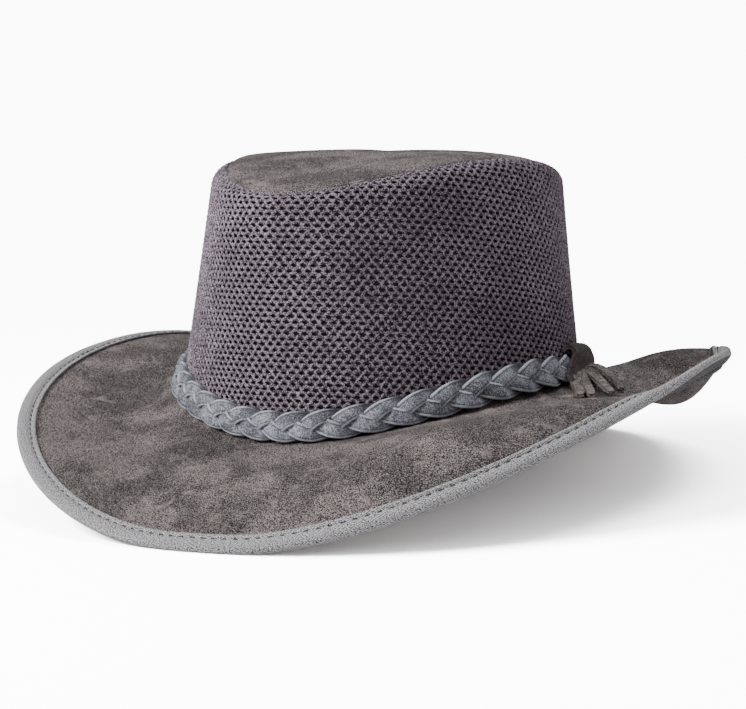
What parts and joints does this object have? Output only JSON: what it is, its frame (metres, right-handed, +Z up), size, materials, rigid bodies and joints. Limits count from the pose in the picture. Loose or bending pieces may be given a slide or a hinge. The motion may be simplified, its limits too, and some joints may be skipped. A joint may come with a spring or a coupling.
{
  "type": "wide-brimmed mesh sun hat",
  "caption": "Wide-brimmed sun hat with a knitted mesh crown, leather top and brim, cloth-bound edge and a plaited leather band with a fringed wrap.",
  "frame": {"origin": "on the surface that the brim rests on, under the middle of the hat", "axes": "-Y towards the wearer's front, +X towards the wearer's left, +Z up out of the crown's top"},
  "size_m": [0.3182, 0.3585, 0.1524],
  "materials": {
    "mesh": "matte knitted mesh",
    "leather": "worn, fine grained",
    "binding": "matte twill",
    "plait": "smooth, satin",
    "wrap": "brushed, suede-like"
  },
  "bodies": {
    "root": {"crown_side": "mesh", "crown_top": "leather", "brim": "leather", "brim_binding": "binding", "hat_band": "plait", "band_wrap": "wrap"}
  },
  "joints": []
}
